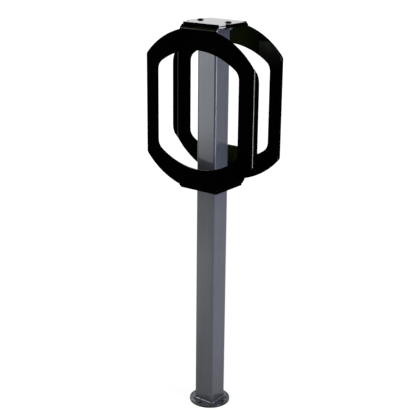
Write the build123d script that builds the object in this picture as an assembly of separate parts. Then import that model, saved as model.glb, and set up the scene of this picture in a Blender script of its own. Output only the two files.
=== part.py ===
"""Bike rack: a square post on a round foot, with two formed plate rings bolted over its upper end.

Millimetres, +Z up. The origin is the centre of the foot's underside. X runs along the rings' width,
the front ring is on the -Y side and the rear ring on the +Y side.
"""
import os
from math import atan2, pi, sqrt, tan
from build123d import *

# Post and its two welded plates
stand_height = 915.3        # floor to the upper face of the post's top plate
post_width = 50.8
post_wall = 3.2
post_corner = 2.5           # outer corner radius of the tube
top_plate_thickness = 6.0
top_plate_lip = 3.0         # how far the plate stands out past the tube, for its weld
top_plate_corner = 4.0
weld_leg = 2.6

# Foot
base_diameter = 97.6
base_thickness = 5.0
base_edge_radius = 1.2
base_weld_leg = 4.5
anchor_circle = 79.0        # diameter of the circle through the anchor holes
anchor_hole = 9.0
anchor_count = 4

# Rings: plate, outline and opening
plate = 4.0
bend_radius = 3.0           # inner radius of every fold
ring_spacing = 122.0        # between the outer faces of the two rings
ring_height = 371.8         # between the outer faces of the top and bottom tabs
wide_side = 153.5           # post's middle to the outer face of the folded side, front ring's right
narrow_side = 146.3         # the same at the other side, front ring's left
outline_inset = 4.3         # crown of the round outline below the tab's outer face
outline_shift = 2.4         # centre of an outline arc past the ring's mid-height
side_flange = 15.0          # depth of the folded side edges, from the ring's outer face
side_flange_corner = 45.0   # long curve at each end of the folded edge
opening_width = 223.0
opening_height = 266.0
opening_shift = 41.0        # centre of an opening arc past the ring's mid-height
opening_corner = 25.0
sill_width = 160.0          # rear ring only: straight sill in the opening's lower edge
sill_step = 11.5            # how far the sill's ends stand above the opening's edge
sill_corner = 3.5

# Tabs: a sloped shoulder from the ring's face to a flat tab
shoulder_run = 9.5
shoulder_drop = 8.0
tab_edge = 10.5             # from the bolt's centre to the tab's side
wing_reach = 9.5            # how far the upper tabs widen at each side, round the bolts
wing_front = 24.0           # post's middle to the wings' front ends
wing_back = 37.0            # and to their rear ends
wing_corner = 3.0
tab_end_gap = 0.6           # from the tab's end to the other ring's fold
notch_clearance = 0.5       # round the post in the lower tabs

# Fasteners
bolt_diameter = 6.0
head_diameter = 11.8
head_height = 2.7
head_flange = 15.4          # diameter of the thin flange below the head
head_rim = 0.8              # thickness of that flange
socket_width = 4.0
socket_depth = 1.4
hole_clearance = 0.5        # round the bolt in the rings' tabs
thread_clearance = 0.3      # round the bolt in nut, washer and top plate
washer_diameter = 12.0
washer_thickness = 1.6
washer_gap = 6.6            # between washer and post
nut_width = 10.0
nut_height = 5.2
nut_chamfer = 0.6
bolt_tip = 1.5              # how far a bolt stands out of its thread
tip_chamfer = 0.6
ear_edge = 6.5              # top plate round the bolt

# Worked out from the sizes above
post_half = post_width / 2
ring_face = ring_spacing / 2
ring_half = ring_height / 2
outline_height = ring_height - 2 * outline_inset
bolt_offset = post_half + washer_gap + washer_diameter / 2
tab_half = bolt_offset + tab_edge
tab_flat = ring_face - shoulder_run
plate_top = stand_height - top_plate_thickness
front_middle = stand_height + plate - ring_half
rear_middle = front_middle + plate
bolt_hole = bolt_diameter + 2 * hole_clearance
tapped_hole = bolt_diameter + 2 * thread_clearance
fold_radius = bend_radius + plate
shoulder_slope = atan2(shoulder_drop, shoulder_run)
tab_end = tab_flat - fold_radius * tan(shoulder_slope / 2) - tab_end_gap
face_start = ring_half - shoulder_drop - fold_radius * tan(pi / 4 - shoulder_slope / 2) - plate
side_join = fold_radius + plate     # a side's outer face to where it joins the ring's flat face
sides = {"left": -1, "right": 1}


def rounded_square(width, radius):
    return RectangleRounded(width, width, radius)


def two_arcs(height, shift):
    """Area between an upper and a lower arc, with each arc's centre past the middle."""
    radius = height / 2 + shift
    return Pos(0, -shift) * Circle(radius) & Pos(0, shift) * Circle(radius)


def weld_bead(leg):
    """Bead round the post, standing on the XY plane, with its toe on the post."""
    foot = rounded_square(post_width + 2 * leg, post_corner + leg)
    bead = extrude(foot, leg, taper=45)
    return bead - extrude(rounded_square(post_width, post_corner), leg)


def post_tube():
    bore = rounded_square(post_width - 2 * post_wall, max(post_corner - post_wall, 0.5))
    section = rounded_square(post_width, post_corner) - bore
    return Pos(0, 0, base_thickness) * extrude(section, plate_top - base_thickness)


def base_flange():
    disc = Cylinder(base_diameter / 2, base_thickness, align=(Align.CENTER, Align.CENTER, Align.MIN))
    disc = fillet(disc.edges().group_by(Axis.Z)[-1], base_edge_radius)
    hole = Cylinder(anchor_hole / 2, base_thickness, align=(Align.CENTER, Align.CENTER, Align.MIN))
    return disc - PolarLocations(anchor_circle / 2, anchor_count) * hole


def post_top_plate():
    ear = bolt_diameter / 2 + ear_edge
    shape = rounded_square(post_width + 2 * top_plate_lip, top_plate_corner)
    shape += SlotOverall(2 * (bolt_offset + ear), 2 * ear)
    shape -= Locations((-bolt_offset, 0), (bolt_offset, 0)) * Circle(tapped_hole / 2)
    return Pos(0, 0, plate_top) * extrude(shape, top_plate_thickness)


def folded_strip(outer):
    """Section of a folded plate: `outer` is the outer line, folded the same way at each corner."""
    inner = []
    directions = [(b - a).normalized() for a, b in zip(outer, outer[1:])]
    normals = [Vector(d.Y, -d.X) for d in directions]
    inner.append(outer[0] + normals[0] * plate)
    for corner, before, after in zip(outer[1:], normals, normals[1:]):
        middle = (before + after).normalized()
        inner.append(corner + middle * (plate / middle.dot(before)))
    inner.append(outer[-1] + normals[-1] * plate)
    outer_line = FilletPolyline(*outer, radius=fold_radius)
    inner_line = FilletPolyline(*inner, radius=bend_radius)
    ends = Line(outer[0], inner[0]) + Line(outer[-1], inner[-1])
    return make_face(outer_line + inner_line + ends)


def ring_outline():
    return two_arcs(outline_height, outline_shift)


def ring_opening(has_sill):
    shape = two_arcs(opening_height, opening_shift) & Rectangle(opening_width, opening_height)
    corners = [v for v in shape.vertices() if abs(abs(v.X) - opening_width / 2) < 0.01]
    shape = fillet(corners, opening_corner)
    if not has_sill:
        return shape
    radius = opening_height / 2 + opening_shift
    sill_top = opening_shift - sqrt(radius**2 - (sill_width / 2) ** 2) + sill_step
    sill = Pos(0, sill_top) * Rectangle(sill_width, opening_height, align=(Align.CENTER, Align.MAX))
    shape = shape - sill
    corners = [v for v in shape.vertices() if abs(abs(v.X) - sill_width / 2) < 0.01]
    return fillet(corners, sill_corner)


def ring_tab(has_notch, wing_near=0, wing_far=0):
    """Upper tab with its sloped shoulder, from the face of the front ring inwards over the post."""
    line = [Vector(-ring_face, face_start), Vector(-ring_face, ring_half - shoulder_drop),
            Vector(-tab_flat, ring_half), Vector(tab_end, ring_half)]
    tab = extrude(Plane.YZ * folded_strip(line), tab_half, both=True)
    if wing_near:
        wings = RectangleRounded(2 * (tab_half + wing_reach), wing_near + wing_far, wing_corner)
        tab += Pos(0, (wing_far - wing_near) / 2, ring_half) * extrude(wings, -plate)
    hole = Cylinder(bolt_hole / 2, plate, align=(Align.CENTER, Align.CENTER, Align.MAX))
    tab -= Locations((-bolt_offset, 0, ring_half), (bolt_offset, 0, ring_half)) * hole
    if has_notch:
        reach = post_half + notch_clearance
        tab -= Pos(0, (tab_end - reach) / 2, ring_half) * Box(2 * reach, tab_end + reach, 3 * plate)
    return tab


def ring_side(reach):
    """Right-hand side edge, folded back from the ring's face, with its ends on the round outline."""
    line = [Vector(reach - side_join, -ring_face), Vector(reach, -ring_face),
            Vector(reach, side_flange - ring_face)]
    strip = extrude(folded_strip([Vector(p.X, -p.Y) for p in line]), outline_height / 2, both=True)
    strip = mirror(strip, Plane.XZ) & extrude(Plane.XZ * ring_outline(), ring_face)
    from_face = (Align.MIN, Align.CENTER)
    blank = Rectangle(side_flange, outline_height, align=from_face)
    blank &= Pos(fold_radius - reach, 0) * ring_outline()
    free_corners = [v for v in blank.vertices() if abs(v.X - side_flange) < 0.01]
    blank = fillet(free_corners, side_flange_corner)
    blank += Rectangle(plate + bend_radius / 2, outline_height, align=from_face)
    return strip & Pos(0, -ring_face, 0) * extrude(Plane.YZ * blank, 2 * reach)


def formed_ring(has_sill):
    """The front ring about its own mid-height."""
    lower_tab = mirror(ring_tab(True), Plane.XY)
    right = wide_side - side_join
    left = narrow_side - side_join
    outline = ring_outline() & Pos((right - left) / 2, 0) * Rectangle(right + left, outline_height)
    for end in (-1, 1):
        cut = Rectangle(2 * tab_half, outline_height, align=(Align.CENTER, Align.MIN))
        outline -= Pos(0, end * face_start) * Rot(0, 0, 90 - 90 * end) * cut
    outline -= ring_opening(has_sill)
    face = extrude(Plane.XZ.offset(ring_face - plate) * outline, plate)
    far_side = mirror(ring_side(narrow_side), Plane.YZ)
    wings = (wing_back, wing_front) if has_sill else (wing_front, wing_back)
    return face + ring_tab(False, *wings) + lower_tab + ring_side(wide_side) + far_side


def front_ring():
    return Pos(0, 0, front_middle) * formed_ring(False)


def rear_ring():
    return Pos(0, 0, rear_middle) * Rot(0, 0, 180) * formed_ring(True)


def bolt(length):
    """Flanged button-head bolt, head up, with the underside of its head on the XY plane."""
    rim = head_diameter / 2
    rise = head_height - head_rim
    crown = rim - rise
    dome = RadiusArc((crown, head_height), (rim, head_rim), 1.2 * rise)
    flange = head_flange / 2
    edge = Polyline((rim, head_rim), (flange, head_rim), (flange, 0), (0, 0), (0, head_height),
                    (crown, head_height))
    head = revolve(Plane.XZ * make_face(dome + edge), Axis.Z)
    socket = extrude(RegularPolygon(socket_width / 2, 6, major_radius=False), -socket_depth)
    shank = Cylinder(bolt_diameter / 2, length, align=(Align.CENTER, Align.CENTER, Align.MAX))
    shank = chamfer(shank.edges().group_by(Axis.Z)[0], tip_chamfer)
    return head - Pos(0, 0, head_height) * socket + shank


def washer():
    """Washer below the XY plane."""
    ring = Circle(washer_diameter / 2) - Circle(bolt_diameter / 2 + thread_clearance)
    return extrude(ring, -washer_thickness)


def nut():
    """Hexagon nut below the XY plane, with its lower corners rounded off."""
    hexagon = extrude(RegularPolygon(nut_width / 2, 6, major_radius=False), -nut_height)
    below = (Align.CENTER, Align.CENTER, Align.MAX)
    cone = Cylinder(nut_width / 2 + nut_chamfer, nut_height, align=below)
    cone = chamfer(cone.edges().group_by(Axis.Z)[0], nut_chamfer)
    bore = Cylinder(bolt_diameter / 2 + thread_clearance, 2 * nut_height)
    return (hexagon & cone) - bore


def both_sides(name, solid):
    """The same fastener at both sides of the post."""
    return {f"{name}_{side}": Pos(sign * bolt_offset, 0, 0) * solid for side, sign in sides.items()}


def top_fasteners():
    """Bolts down through both upper tabs into the top plate's threads."""
    length = 2 * plate + top_plate_thickness + bolt_tip
    return both_sides("top_bolt", Pos(0, 0, stand_height + 2 * plate) * bolt(length))


def lower_fasteners():
    """Bolts up through both lower tabs, with washers and nuts on the inner side."""
    grip = 2 * plate
    seat = Pos(0, 0, front_middle - ring_half) * Rot(180, 0, 0)
    length = grip + washer_thickness + nut_height + bolt_tip
    fasteners = both_sides("lower_bolt", seat * bolt(length))
    fasteners |= both_sides("lower_washer", seat * Pos(0, 0, -grip) * washer())
    return fasteners | both_sides("lower_nut", seat * Pos(0, 0, -grip - washer_thickness) * nut())


nodes = {
    "post_tube": post_tube(),
    "base_flange": base_flange(),
    "base_weld": Pos(0, 0, base_thickness) * weld_bead(base_weld_leg),
    "post_top_plate": post_top_plate(),
    "top_plate_weld": Pos(0, 0, plate_top) * Rot(180, 0, 0) * weld_bead(weld_leg),
    "front_ring": front_ring(),
    "rear_ring": rear_ring(),
}
nodes |= top_fasteners() | lower_fasteners()

os.makedirs("parts", exist_ok=True)
for name, solid in nodes.items():
    export_step(solid, f"parts/{name}.step")
print(len(nodes), "nodes, overall height", round(stand_height + 2 * plate + head_height, 1))
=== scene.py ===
"""Looks of the bike rack: grey coated post, black formed rings, rippled welds, dark bolts."""
import math

import bpy
from mathutils import Matrix, Vector


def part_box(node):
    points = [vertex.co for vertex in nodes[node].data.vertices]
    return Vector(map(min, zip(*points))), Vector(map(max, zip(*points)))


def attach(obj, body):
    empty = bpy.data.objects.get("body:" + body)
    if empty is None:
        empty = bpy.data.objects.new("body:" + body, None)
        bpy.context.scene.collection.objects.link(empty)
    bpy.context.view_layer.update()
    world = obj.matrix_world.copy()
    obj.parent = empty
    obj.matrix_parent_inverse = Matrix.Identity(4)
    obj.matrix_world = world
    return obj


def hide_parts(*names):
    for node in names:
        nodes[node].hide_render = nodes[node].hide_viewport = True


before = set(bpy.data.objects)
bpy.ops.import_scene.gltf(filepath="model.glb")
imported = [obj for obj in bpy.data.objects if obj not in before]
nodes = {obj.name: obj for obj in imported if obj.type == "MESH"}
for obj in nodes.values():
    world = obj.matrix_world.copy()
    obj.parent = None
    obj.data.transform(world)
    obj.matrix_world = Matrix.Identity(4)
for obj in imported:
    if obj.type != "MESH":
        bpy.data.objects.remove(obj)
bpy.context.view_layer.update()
scene = bpy.context.scene
scene.view_settings.view_transform = "Standard"

# All lengths are in metres. A pair of numbers is where a soft edge starts and ends.

# Post and foot: the coat rounds the tube's corners off further than the steel.
TUBE_CORNER_START = 0.0206
TUBE_CORNER_ROUNDING = 0.0053
POST_GRIME = (0.004, 0.04)
# Painted shade: the post darkens towards the floor, up to the second height
POST_PAINTED_SHADE = (0.0, 0.2)
ANCHOR_OFFSET = 0.0395
# Painted shade inside the anchor holes, out to these radii
ANCHOR_HOLE_SHADE = (0.0045, 0.005)
# Painted shade along the foot's outer edge, from these radii
FOOT_RIM_SHADE = (0.0474, 0.0486)
# Painted highlights: light spots on the foot towards its left front end, along this heading
FOOT_GLINT_SIDE = (-0.041, -0.029)
GLINTS_TOWARD = (0.8, 0.6)

# Rings: a ring's wide side stands further out than its narrow side.
RING_DEPTH = 0.061
RING_MIDDLE = 0.7354
PLATE = 0.004
BEND_OUTER = 0.007
HALF_STEP = 0.0036
SIDE_BEND_START = 0.1499 - BEND_OUTER
FACE_BEND_START = RING_DEPTH - BEND_OUTER
SHOULDER = (0.0001, 0.0006), (0.0028, 0.0038)
SHOULDER_HIGH = (0.165, 0.17)
# How far round the folds' curve, as a share of its radius
# Painted highlight along the outer fold of a ring's wide side
BEND_HIGHLIGHT_ALONG = (0.505, 0.56), (0.61, 0.67)
BEND_HIGHLIGHT_ACROSS = (0.5, 0.6)
# Painted highlight along the inner bend, beside the face
CREASE_HIGHLIGHT_ALONG = (-0.04, 0.0), (0.16, 0.22)
CREASE_HIGHLIGHT_ACROSS = (0.3, 0.36), (0.44, 0.5)
# The inner faces that catch light, over the rings' middle
SILL_HIGH = (-0.145, -0.135), (-0.098, -0.09)
SILL_WIDE = (-0.04, -0.01), (0.06, 0.085)
CROWN_HIGH = (0.08, 0.13)
CROWN_WIDE = (-0.03, 0.012)
PAST_FOLD = (0.078, 0.084)
# The upper tabs' cut front edges: level beside the post, then down the shoulder's slope
TAB_HALF = 0.0485
TAB_SEAM = 0.9193
TAB_HIGH = (0.17, 0.172)
SEAM_MIDDLE = -0.0003
SEAM_HALF = (0.0009, 0.0013)
LOWER_TAB = (-0.0042, -0.0038)
LEVEL_EDGE = (-0.0485, -0.0475), (-0.0245, -0.0235)
SLOPED_EDGE = (-0.057, -0.056), (-0.0505, -0.0495)
SLOPE_TOP = -0.0515
SLOPE_ACROSS, SLOPE_UP = 0.644, 0.765
SLOPE_SUNK = (0.0028, 0.0034)

# Weld ripples: the bead's path and radius as shares of the plain bead's leg
BEAD_INSET = 1.1
BEAD_LEVEL = 0.45
BEAD_RADIUS = 0.62
BEAD_CORNER = 0.005
# Their drops: how far apart, how long in those steps, and how much they differ in size
RIPPLE_PITCH = 0.0024
RIPPLE_LENGTH = 3.2
RIPPLE_LEAST, RIPPLE_MOST = 0.94, 1.06
RIPPLE_SEED = 5
MERGE_DISTANCE = 0.00002


# Shader expressions

class Wire:
    """A node's output; arithmetic on it adds Math nodes."""

    def __init__(self, finish, socket):
        self.finish = finish
        self.socket = socket

    def _math(self, operation, *values):
        return self.finish.node("ShaderNodeMath", {"operation": operation}, dict(enumerate(values)))

    def __add__(self, other):
        return self._math("ADD", self, other)

    __radd__ = __add__

    def __sub__(self, other):
        return self._math("SUBTRACT", self, other)

    def __rsub__(self, other):
        return self._math("SUBTRACT", other, self)

    def __mul__(self, other):
        return self._math("MULTIPLY", self, other)

    __rmul__ = __mul__

    def __truediv__(self, other):
        return self._math("DIVIDE", self, other)

    def __pow__(self, other):
        return self._math("POWER", self, other)

    def largest(self, other):
        return self._math("MAXIMUM", self, other)

    def smallest(self, other):
        return self._math("MINIMUM", self, other)

    def size(self):
        return self._math("ABSOLUTE", self)

    def turned(self):
        """-1, 0 or 1, as the value is below, at or above nothing."""
        return self._math("SIGN", self)

    def above(self, low, high):
        """0 up to low, 1 from high, smooth in between."""
        return self.finish.node("ShaderNodeMapRange", {"interpolation_type": "SMOOTHSTEP"},
                                {"Value": self, "From Min": low, "From Max": high})

    def below(self, low, high):
        """1 up to low, 0 from high, smooth in between."""
        return 1.0 - self.above(low, high)

    def within(self, rise, fall):
        """1 between two soft edges, 0 outside them."""
        return self.above(*rise) * self.below(*fall)

    def near(self, place, low, high):
        """1 up to low from a place, 0 from high away."""
        return (self - place).size().below(low, high)

    def sister(self, name):
        """Another output of the same node."""
        return Wire(self.finish, self.socket.node.outputs[name])


class Finish:
    """The node tree of a material or of the world."""

    def __init__(self, owner):
        owner.use_nodes = True
        self.owner = owner
        self.tree = owner.node_tree
        self.tree.nodes.clear()

    def node(self, kind, settings=None, inputs=None, out=0):
        made = self.tree.nodes.new(kind)
        for name, value in (settings or {}).items():
            setattr(made, name, value)
        for name, value in (inputs or {}).items():
            self.put(made.inputs[name], value)
        return Wire(self, made.outputs[out]) if made.outputs else None

    def put(self, socket, value):
        if isinstance(value, Wire):
            self.tree.links.new(value.socket, socket)
        else:
            socket.default_value = (*value, 1.0) if socket.type == "RGBA" else value

    def place(self):
        return self.node("ShaderNodeTexCoord", out="Object")

    def split(self, vector):
        parts = self.node("ShaderNodeSeparateXYZ", inputs={0: vector})
        return [parts.sister(name) for name in "XYZ"]

    def axes(self):
        return self.split(self.place())

    def upward(self):
        """How far a face looks up: 1 on a level top."""
        return self.split(self.node("ShaderNodeNewGeometry", out="Normal"))[2]

    def noise(self, scale, detail=3.0, rough=0.55, stretch=None):
        where = self.place()
        if stretch:
            where = self.node("ShaderNodeMapping", inputs={"Vector": where, "Scale": stretch})
        return self.node("ShaderNodeTexNoise", inputs={"Vector": where, "Scale": scale,
                                                       "Detail": detail, "Roughness": rough})

    def vector(self, operation, *values, out=0):
        return self.node("ShaderNodeVectorMath", {"operation": operation},
                         dict(enumerate(values)), out)

    def colours(self, factor, low, high):
        return self.node("ShaderNodeMix", {"data_type": "RGBA"}, {"Factor": factor, 6: low, 7: high},
                         out=2)

    def layers(self, base, *over):
        """A base colour with each amount of a colour laid over it in turn."""
        for amount, colour in over:
            base = self.colours(amount, base, colour)
        return base

    def bump(self, height, strength, distance, over=None):
        inputs = {"Height": height, "Strength": strength, "Distance": distance}
        if over:
            inputs["Normal"] = over
        return self.node("ShaderNodeBump", inputs=inputs)

    def surface(self, shader):
        self.node("ShaderNodeOutputMaterial", inputs={"Surface": shader})
        return self.owner

    def coat(self, **inputs):
        """Principled surface; names use _ for spaces."""
        named = {name.replace("_", " "): value for name, value in inputs.items()}
        return self.surface(self.node("ShaderNodeBsdfPrincipled", inputs=named))


def new_finish(name):
    return Finish(bpy.data.materials.new(name))


# Coats

def grey_coat(name):
    """Gloss grey powder coat with faint orange peel, dulled near the floor and darkened there by painted
    shade.
    """
    f = new_finish(name)
    x, y, z = f.axes()
    cloud = f.noise(9.0, 4.0)
    peel = f.noise(900.0, 2.0, 0.5)
    speck = f.noise(2600.0, 1.0, 0.5).above(0.62, 0.74)
    streak = f.noise(70.0, 3.0, 0.6, (1.0, 1.0, 0.05))
    grime = z.below(*POST_GRIME) * f.noise(60.0, 4.0, 0.6).above(0.2, 0.7)
    past_x, past_y = [(axis.size() - TUBE_CORNER_START).largest(0.0) for axis in (x, y)]
    swell = past_x ** 2.0 + past_y ** 2.0
    rounding = f.bump(swell * (-0.5 / TUBE_CORNER_ROUNDING), 1.0, 1.0)
    shade = (cloud * 0.5 + streak * 0.5).above(0.3, 0.7)
    base = f.layers(
        f.colours(shade, (0.066, 0.067, 0.074), (0.08, 0.081, 0.089)),
        (speck * 0.2, (0.2, 0.2, 0.23)),
        # Painted shade darkening the post towards the floor
        (0.55 * z.below(*POST_PAINTED_SHADE), (0.03, 0.03, 0.035)),
        (grime * 0.6, (0.035, 0.034, 0.036)))
    return f.coat(Base_Color=base, Roughness=0.1 + 0.08 * cloud + 0.3 * grime,
                  Specular_IOR_Level=1.0, Normal=f.bump(peel, 0.035, 0.0004, rounding))


def foot_coat(name):
    """The same coat on the plates at the post's ends: darker, thick, flowed out and mottled."""
    f = new_finish(name)
    x, y, _ = f.axes()
    mottle = f.noise(230.0, 5.0, 0.65)
    flow = f.noise(70.0, 3.0, 0.5)
    chip = f.noise(420.0, 4.0, 0.7).above(0.58, 0.66)
    ahead = x ** 2.0 + (y.size() - ANCHOR_OFFSET) ** 2.0
    aside = (x.size() - ANCHOR_OFFSET) ** 2.0 + y ** 2.0
    # Painted shade: the anchor holes' walls nearly black
    hole_shade = ahead.smallest(aside).below(*[radius ** 2 for radius in ANCHOR_HOLE_SHADE])
    # Painted shade: the foot's outer edge darkened
    rim_shade = (x ** 2.0 + y ** 2.0).above(*[radius ** 2 for radius in FOOT_RIM_SHADE])
    # Painted highlights: light spots on the foot's left front end
    side = GLINTS_TOWARD[0] * x + GLINTS_TOWARD[1] * y
    painted_light_spots = side.below(*FOOT_GLINT_SIDE) * f.noise(300.0, 4.0, 0.7).above(0.44, 0.58)
    base = f.layers(
        f.colours(mottle.above(0.38, 0.62), (0.021, 0.021, 0.022), (0.08, 0.08, 0.082)),
        (chip * 0.7, (0.3, 0.3, 0.3)),
        (painted_light_spots * 0.8, (0.3, 0.3, 0.3)),
        (rim_shade * 0.85, (0.008, 0.008, 0.009)),
        (hole_shade, (0.002, 0.002, 0.002)))
    return f.coat(Base_Color=base, Roughness=0.12 + 0.25 * mottle.above(0.4, 0.7) + 0.5 * hole_shade,
                  Normal=f.bump(flow + 0.4 * mottle, 0.4, 0.0012))


def weld_coat(name):
    """Glossy grey coat over a weld bead."""
    f = new_finish(name)
    mottle = f.noise(300.0, 4.0, 0.6)
    base = f.colours(mottle.above(0.35, 0.65), (0.042, 0.042, 0.046), (0.096, 0.096, 0.104))
    return f.coat(Base_Color=base, Roughness=0.12 + 0.1 * mottle, Specular_IOR_Level=1.0, IOR=1.65)


def inner_painted_light(f, x, high, inward):
    """Painted light on a ring's inner face, where it would catch light, and its tint: olive, grey past
    the fold.
    """
    sill = high.within(*SILL_HIGH) * x.within(*SILL_WIDE)
    crown = x.above(*CROWN_WIDE) * high.above(*CROWN_HIGH)
    face = inward.near(PLATE, 0.0003, 0.0006) * crown.largest(sill)
    far_side = x.above(*PAST_FOLD)
    by_fold = far_side * high.below(0.1435, 0.1505) * (0.5 + 0.5 * high.above(0.121, 0.133))
    by_fold = by_fold * (1.0 - 0.5 * x.above(0.095, 0.125))
    by_post = (1.0 - far_side) * (1.0 - 0.88 * x.above(-0.02, 0.085))
    tone = f.colours(far_side, (0.0256, 0.0336, 0.008), (0.022, 0.024, 0.018))
    return face * by_fold.largest(by_post), tone


def pale_tab_edges(f, x, y, z):
    """Pale patches on the upper tabs' cut front edges, with a dark seam between the two plates."""
    over_seam = z - TAB_SEAM
    seam = 1.0 - over_seam.near(SEAM_MIDDLE, *SEAM_HALF)
    straight = y.within(*LEVEL_EDGE) * seam * over_seam.above(*LOWER_TAB)
    sunk = (y - SLOPE_TOP) * SLOPE_ACROSS - over_seam * SLOPE_UP
    sloped = y.within(*SLOPED_EDGE) * sunk.above(*SLOPE_SUNK)
    edge = x.size().near(TAB_HALF, 0.0002, 0.0005) * straight.largest(sloped * 0.8)
    return edge * (z - RING_MIDDLE).above(*TAB_HIGH) * f.noise(300.0, 3.0).above(0.1, 0.45)


def black_coat(name):
    """Deep black coat: dust and sheen on level faces, painted highlights on the folds, a thin shine
    along the shoulders.
    """
    f = new_finish(name)
    x, y, z = f.axes()
    high = z - RING_MIDDLE
    depth = y.size()
    inward = RING_DEPTH - depth
    # Negative on a ring's wide side, positive on its narrow one
    narrow = x * y.turned()
    cloud = f.noise(14.0, 4.0)
    peel = f.noise(700.0, 2.0, 0.5)
    scuff = f.noise(160.0, 5.0, 0.7, (1.0, 1.0, 0.25)).above(0.66, 0.8)
    level = f.upward().above(0.94, 1.0)
    dust = level * f.noise(45.0, 5.0, 0.6).above(0.2, 0.75)
    along = ((narrow + HALF_STEP).size() - SIDE_BEND_START) / BEND_OUTER
    across = (depth - FACE_BEND_START) / BEND_OUTER
    # Painted highlight: a light, metallic line along the outer fold of a ring's wide side
    painted_bend_highlight = along.within(*BEND_HIGHLIGHT_ALONG) * across.above(*BEND_HIGHLIGHT_ACROSS)
    painted_bend_highlight = painted_bend_highlight * f.noise(40.0, 2.0).above(0.05, 0.4) * narrow.below(-0.02, 0.02)
    # Painted highlight: a light line by the inner bend, beside the face
    painted_crease_highlight = along.within(*CREASE_HIGHLIGHT_ALONG) * across.within(*CREASE_HIGHLIGHT_ACROSS)
    shoulder = inward.within(*SHOULDER) * high.above(*SHOULDER_HIGH)
    # Pale patches on the tabs' front edges
    pale_edge = pale_tab_edges(f, x, y, z)
    # Painted light on the inner faces
    inner, tone = inner_painted_light(f, x, high, inward)
    base = f.layers(
        f.colours(cloud.above(0.3, 0.7), (0.0004, 0.0004, 0.0003), (0.0009, 0.0009, 0.0007)),
        (inner * cloud.above(0.1, 0.5), tone),
        (painted_crease_highlight, (0.13, 0.13, 0.12)),
        (scuff * 0.06, (0.03, 0.03, 0.03)),
        (dust * 0.1, (0.2, 0.195, 0.18)),
        (painted_bend_highlight, (0.7, 0.68, 0.6)),
        (pale_edge, (0.58, 0.55, 0.47)))
    sheen = 0.095 + 0.23 * narrow.above(-0.02, 0.05)
    return f.coat(Base_Color=base, Metallic=(painted_bend_highlight * 0.7).largest(pale_edge * 0.2),
                  Roughness=0.2 + 0.1 * cloud + 0.2 * scuff + 0.3 * pale_edge, Specular_IOR_Level=0.0,
                  Coat_Weight=level.largest(shoulder * sheen), Coat_Roughness=0.06,
                  Normal=f.bump(peel, 0.05, 0.0003))


def blackened_steel(name):
    """Bolts and nuts: dark brownish steel, spotted on the tops; painted light makes the tops lighter and
    painted shade the sides nearly black.
    """
    f = new_finish(name)
    spots = f.noise(420.0, 5.0, 0.65)
    # Painted light and shade: upward faces get the lighter spotted tone, the sides stay nearly black
    lit_top = f.upward().above(0.6, 0.95)
    painted_light_spots = f.colours(spots.above(0.42, 0.66), (0.045, 0.041, 0.037), (0.11, 0.09, 0.076))
    base = f.colours(lit_top, (0.006, 0.0055, 0.005), painted_light_spots)
    return f.coat(Base_Color=base, Metallic=0.1 + 0.65 * lit_top, Roughness=0.34 + 0.3 * spots,
                  Specular_IOR_Level=0.12, Normal=f.bump(spots, 0.2, 0.0003))


post_finish = grey_coat("grey_powder_coat")
foot_finish = foot_coat("grey_coat_on_foot")
weld_finish = weld_coat("grey_coat_on_welds")
ring_finish = black_coat("black_powder_coat")
bolt_finish = blackened_steel("blackened_steel")
# The top plate takes the foot's darker coat, which paints shade on its edge under the tabs
finish_of = {"post_tube": post_finish, "base_flange": foot_finish, "post_top_plate": foot_finish,
             "front_ring": ring_finish, "rear_ring": ring_finish}
for name, node in nodes.items():
    node.data.materials.clear()
    node.data.materials.append(finish_of.get(name, bolt_finish))


# Weld ripples

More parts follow.
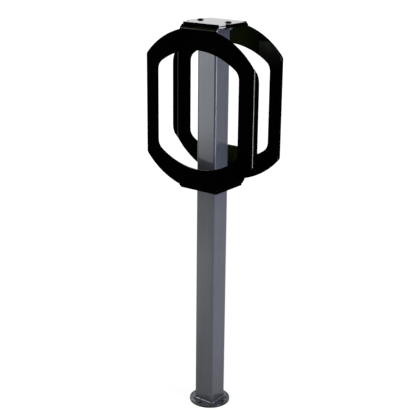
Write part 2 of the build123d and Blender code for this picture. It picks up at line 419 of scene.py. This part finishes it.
def ripple_tree():
    """Flattened drops along a rounded square, fused to one skin with creases where they meet."""
    tree = bpy.data.node_groups.new("weld_ripples", "GeometryNodeTree")
    face = tree.interface
    face.new_socket("Geometry", in_out="OUTPUT", socket_type="NodeSocketGeometry")
    for name in ("Path width", "Path corner", "Level", "Pitch", "Bead radius"):
        face.new_socket(name, in_out="INPUT", socket_type="NodeSocketFloat")
    face.new_socket("Coat", in_out="INPUT", socket_type="NodeSocketMaterial")

    def put(socket, value):
        if isinstance(value, bpy.types.NodeSocket):
            tree.links.new(value, socket)
        else:
            socket.default_value = value

    def add(kind, settings=None, numbered=None, **inputs):
        made = tree.nodes.new(kind)
        for key, value in (settings or {}).items():
            setattr(made, key, value)
        for key, value in (numbered or {}).items():
            put(made.inputs[key], value)
        for key, value in inputs.items():
            put(made.inputs[key.replace("_", " ")], value)
        return made

    given = add("NodeGroupInput").outputs
    width, radius = given["Path width"], given["Bead radius"]
    square = add("GeometryNodeCurvePrimitiveQuadrilateral", Width=width, Height=width)
    rounded = add("GeometryNodeFilletCurve", {"mode": "POLY"}, Curve=square.outputs[0],
                  Radius=given["Path corner"], Count=8)
    lift = add("ShaderNodeCombineXYZ", Z=given["Level"])
    raised = add("GeometryNodeTransform", Geometry=rounded.outputs[0], Translation=lift.outputs[0])
    stops = add("GeometryNodeCurveToPoints", {"mode": "LENGTH"}, Curve=raised.outputs[0],
                Length=given["Pitch"])
    long = add("ShaderNodeMath", {"operation": "MULTIPLY"}, {0: given["Pitch"], 1: RIPPLE_LENGTH})
    shape = add("ShaderNodeCombineXYZ", X=radius, Y=radius, Z=long.outputs[0])
    drop = add("GeometryNodeMeshUVSphere", Segments=14, Rings=8, Radius=1.0)
    squashed = add("GeometryNodeTransform", Geometry=drop.outputs["Mesh"], Scale=shape.outputs[0])
    vary = add("FunctionNodeRandomValue", {"data_type": "FLOAT"}, {2: RIPPLE_LEAST, 3: RIPPLE_MOST},
               Seed=RIPPLE_SEED)
    row = add("GeometryNodeInstanceOnPoints", Points=stops.outputs["Points"],
              Instance=squashed.outputs[0], Rotation=stops.outputs["Rotation"], Scale=vary.outputs[1])
    fused = add("GeometryNodeMeshBoolean", {"operation": "UNION", "solver": "EXACT"},
                Mesh_2=row.outputs[0])
    clean = add("GeometryNodeMergeByDistance", Geometry=fused.outputs["Mesh"],
                Distance=MERGE_DISTANCE)
    cut = add("GeometryNodeTriangulate", {"ngon_method": "BEAUTY"}, Mesh=clean.outputs[0])
    smooth = add("GeometryNodeSetShadeSmooth", Geometry=cut.outputs[0])
    creased = add("GeometryNodeSetShadeSmooth", {"domain": "EDGE"}, Geometry=smooth.outputs[0],
                  Selection=fused.outputs["Intersecting Edges"], Shade_Smooth=False)
    solid = add("GeometryNodeRealizeInstances", Geometry=creased.outputs[0])
    painted = add("GeometryNodeSetMaterial", Geometry=solid.outputs[0], Material=given["Coat"])
    add("NodeGroupOutput", numbered={0: painted.outputs[0]})
    return tree


def weld(name, node, on_foot, ripples):
    """A rippled bead in place of the plain one, its path nearer the plate that it stands on."""
    low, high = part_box(node)
    leg = high.z - low.z
    level = low.z + BEAD_LEVEL * leg if on_foot else high.z - BEAD_LEVEL * leg
    sizes = {"Path width": (high.x - low.x) - BEAD_INSET * leg, "Path corner": BEAD_CORNER,
             "Level": level, "Pitch": RIPPLE_PITCH, "Bead radius": BEAD_RADIUS * leg,
             "Coat": weld_finish}
    maker = bpy.data.objects.new(name, bpy.data.meshes.new(name))
    scene.collection.objects.link(maker)
    modifier = maker.modifiers.new("ripples", "NODES")
    modifier.node_group = ripples
    for item in ripples.interface.items_tree:
        if item.in_out == "INPUT":
            modifier[item.identifier] = sizes[item.name]
    shaped = maker.evaluated_get(bpy.context.evaluated_depsgraph_get())
    maker.data = bpy.data.meshes.new_from_object(shaped)
    maker.modifiers.remove(modifier)
    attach(maker, "root")
    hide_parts(node)


weld_ripples = ripple_tree()
weld("foot_weld_ripples", "base_weld", True, weld_ripples)
weld("top_weld_ripples", "top_plate_weld", False, weld_ripples)


# Camera at the photograph's place

PICTURE_PIXELS = 420
FOCAL_PIXELS = 969.45
SENSOR = 36.0
CAMERA_OUT = 2.1438
CAMERA_HIGH = 1.18
CAMERA_ROUND = 36.551
CAMERA_ASIDE = 0.1186
CAMERA_DOWN = 17.853
CAMERA_ROLL = 0.674


def camera():
    """Angles in degrees: round the post from the front, aside from its axis, down and rolled."""
    data = bpy.data.cameras.new("camera")
    data.sensor_width = SENSOR
    data.lens = SENSOR * FOCAL_PIXELS / PICTURE_PIXELS
    data.clip_start = 0.01
    data.clip_end = 200
    turn = math.radians(CAMERA_ROUND)
    yaw = math.radians(CAMERA_ROUND + CAMERA_ASIDE)
    pitch = math.radians(CAMERA_DOWN)
    roll = math.radians(CAMERA_ROLL)
    right = Vector((math.cos(yaw), math.sin(yaw), 0))
    level = Vector((-math.sin(yaw), math.cos(yaw), 0))
    ahead = level * math.cos(pitch) - Vector((0, 0, math.sin(pitch)))
    up = right.cross(ahead)
    across = right * math.cos(roll) + up * math.sin(roll)
    above = up * math.cos(roll) - right * math.sin(roll)
    basis = Matrix((across, above, -ahead)).transposed().to_4x4()
    place = (CAMERA_OUT * math.sin(turn), -CAMERA_OUT * math.cos(turn), CAMERA_HIGH)
    made = bpy.data.objects.new("camera", data)
    made.matrix_world = Matrix.Translation(place) @ basis
    scene.collection.objects.link(made)
    scene.camera = made


camera()


# Studio

LEFT_LIGHT = (0.79, 0.88, 1.0)
RIGHT_LIGHT = (0.6, 0.7, 1.0)
RIGHT_LOW_LIGHT = (0.68, 0.75, 1.0)
BACK_LIGHT = (1.0, 1.0, 0.97)
WHITE = (1.0, 1.0, 1.0)
FLOOR_GREY = (0.9, 0.9, 0.9)
FLOOR_HALF = 60.0
# The sweep is white round the rack; the side that the camera stands on is a dim room.
ROOM_ANGLE = math.radians(19)
ROOM_HEADING = (math.sin(ROOM_ANGLE), -math.cos(ROOM_ANGLE), 0)


def lamp(name, place, aim_high, wide, tall, watts, colour):
    """A rectangular light, aimed at a height on the post's axis."""
    data = bpy.data.lights.new(name, "AREA")
    data.color = colour
    data.shape = "RECTANGLE"
    data.size = wide
    data.size_y = tall
    data.energy = watts
    made = bpy.data.objects.new(name, data)
    made.location = place
    toward = Vector((0, 0, aim_high)) - Vector(place)
    made.rotation_euler = toward.to_track_quat("-Z", "Y").to_euler()
    scene.collection.objects.link(made)


lamp("left_softbox", (-1.6, -2.15, 1.89), 1.67, 1.4, 3.06, 23.0, LEFT_LIGHT)
lamp("left_low_strip", (-1.6, -2.15, 0.19), 0.0, 1.4, 0.34, 1.45, LEFT_LIGHT)
lamp("right_softbox", (2.3, 0.5, 1.6), 0.7, 1.2, 1.2, 40.0, RIGHT_LIGHT)
lamp("right_strip", (2.4, 0.1, 0.4), 0.7, 1.0, 0.75, 25.0, RIGHT_LOW_LIGHT)
lamp("high_spot", (-4.4, -4.1, 6.0), 0.0, 1.3, 1.3, 60.0, WHITE)
lamp("low_strip", (1.5, -1.7, 0.32), 0.72, 0.7, 0.55, 1.0, WHITE)
lamp("back_softbox", (-1.79, 2.41, 1.36), 1.0, 2.4, 0.6, 0.9, BACK_LIGHT)


def ray_kinds(f):
    """Whether a ray shows the background itself, and whether it shows a reflection of it."""
    seen = f.node("ShaderNodeLightPath", out="Is Camera Ray")
    return seen, seen.sister("Is Glossy Ray").largest(seen.sister("Is Transmission Ray"))


def sweep(f, where):
    """1 behind the rack, near 0 in the dim room and lower on the right."""
    flat = f.vector("NORMALIZE", f.vector("MULTIPLY", where, (1, 1, 0)))
    toward = f.vector("DOT_PRODUCT", flat, ROOM_HEADING, out="Value")
    rightward = f.split(flat)[0]
    return (1.0 - 0.95 * toward.above(0.5, 0.72)) * (1.0 - 0.65 * rightward.above(0.2, 0.5))


def studio_world():
    """White to the camera, the sweep in reflections, and an even dim light."""
    world = bpy.data.worlds.new("studio")
    scene.world = world
    f = Finish(world)
    seen, mirrored = ray_kinds(f)
    around = f.node("ShaderNodeTexCoord", out="Generated")
    height = f.split(around)[2]
    backdrop = sweep(f, around) * (1.0 - 0.9 * height.above(0.35, 0.65))
    strength = seen.largest(mirrored * backdrop).largest((1.0 - mirrored) * 0.42)
    sky = f.node("ShaderNodeBackground", inputs={"Color": WHITE, "Strength": strength})
    f.node("ShaderNodeOutputWorld", inputs={"Surface": sky})


def studio_floor():
    """Pale floor: a soft shadow to the camera, the sweep's lower part in reflections, there with a
    painted shadow round the foot.
    """
    mesh = bpy.data.meshes.new("floor")
    corners = [(i * FLOOR_HALF, j * FLOOR_HALF, 0) for i, j in ((-1, -1), (1, -1), (1, 1), (-1, 1))]
    mesh.from_pydata(corners, [], [(0, 1, 2, 3)])
    floor = bpy.data.objects.new("floor", mesh)
    scene.collection.objects.link(floor)
    f = new_finish("pale_floor")
    seen, mirrored = ray_kinds(f)
    place = f.place()
    far = f.vector("LENGTH", place, out="Value")
    leftward = f.split(place)[0] / far * -1.0
    pool = 0.5 * far.below(1.5, 2.1)
    ring = 1.0 - 0.45 * far.above(1.0, 1.4) + 0.6 * far.above(2.1, 2.7)
    # Painted shadow: in reflections the floor glows dimmer round the foot
    painted_foot_shadow = 0.54 + 0.46 * far.above(0.1, 1.0)
    fall = 1.1 * ring * painted_foot_shadow * (1.0 - 0.55 * leftward.above(0.68, 0.88))
    shown = seen * (1.13 + 0.2 * far.above(0.8, 3.0))
    glow = shown.largest(fall * sweep(f, place)).largest(pool)
    lit = f.node("ShaderNodeBsdfDiffuse", inputs={"Color": FLOOR_GREY})
    white = f.node("ShaderNodeEmission", inputs={"Color": WHITE, "Strength": glow})
    share = (seen * 0.78).largest(mirrored * 0.93)
    mesh.materials.append(f.surface(
        f.node("ShaderNodeMixShader", inputs={0: share, 1: lit, 2: white})))


studio_world()
studio_floor()
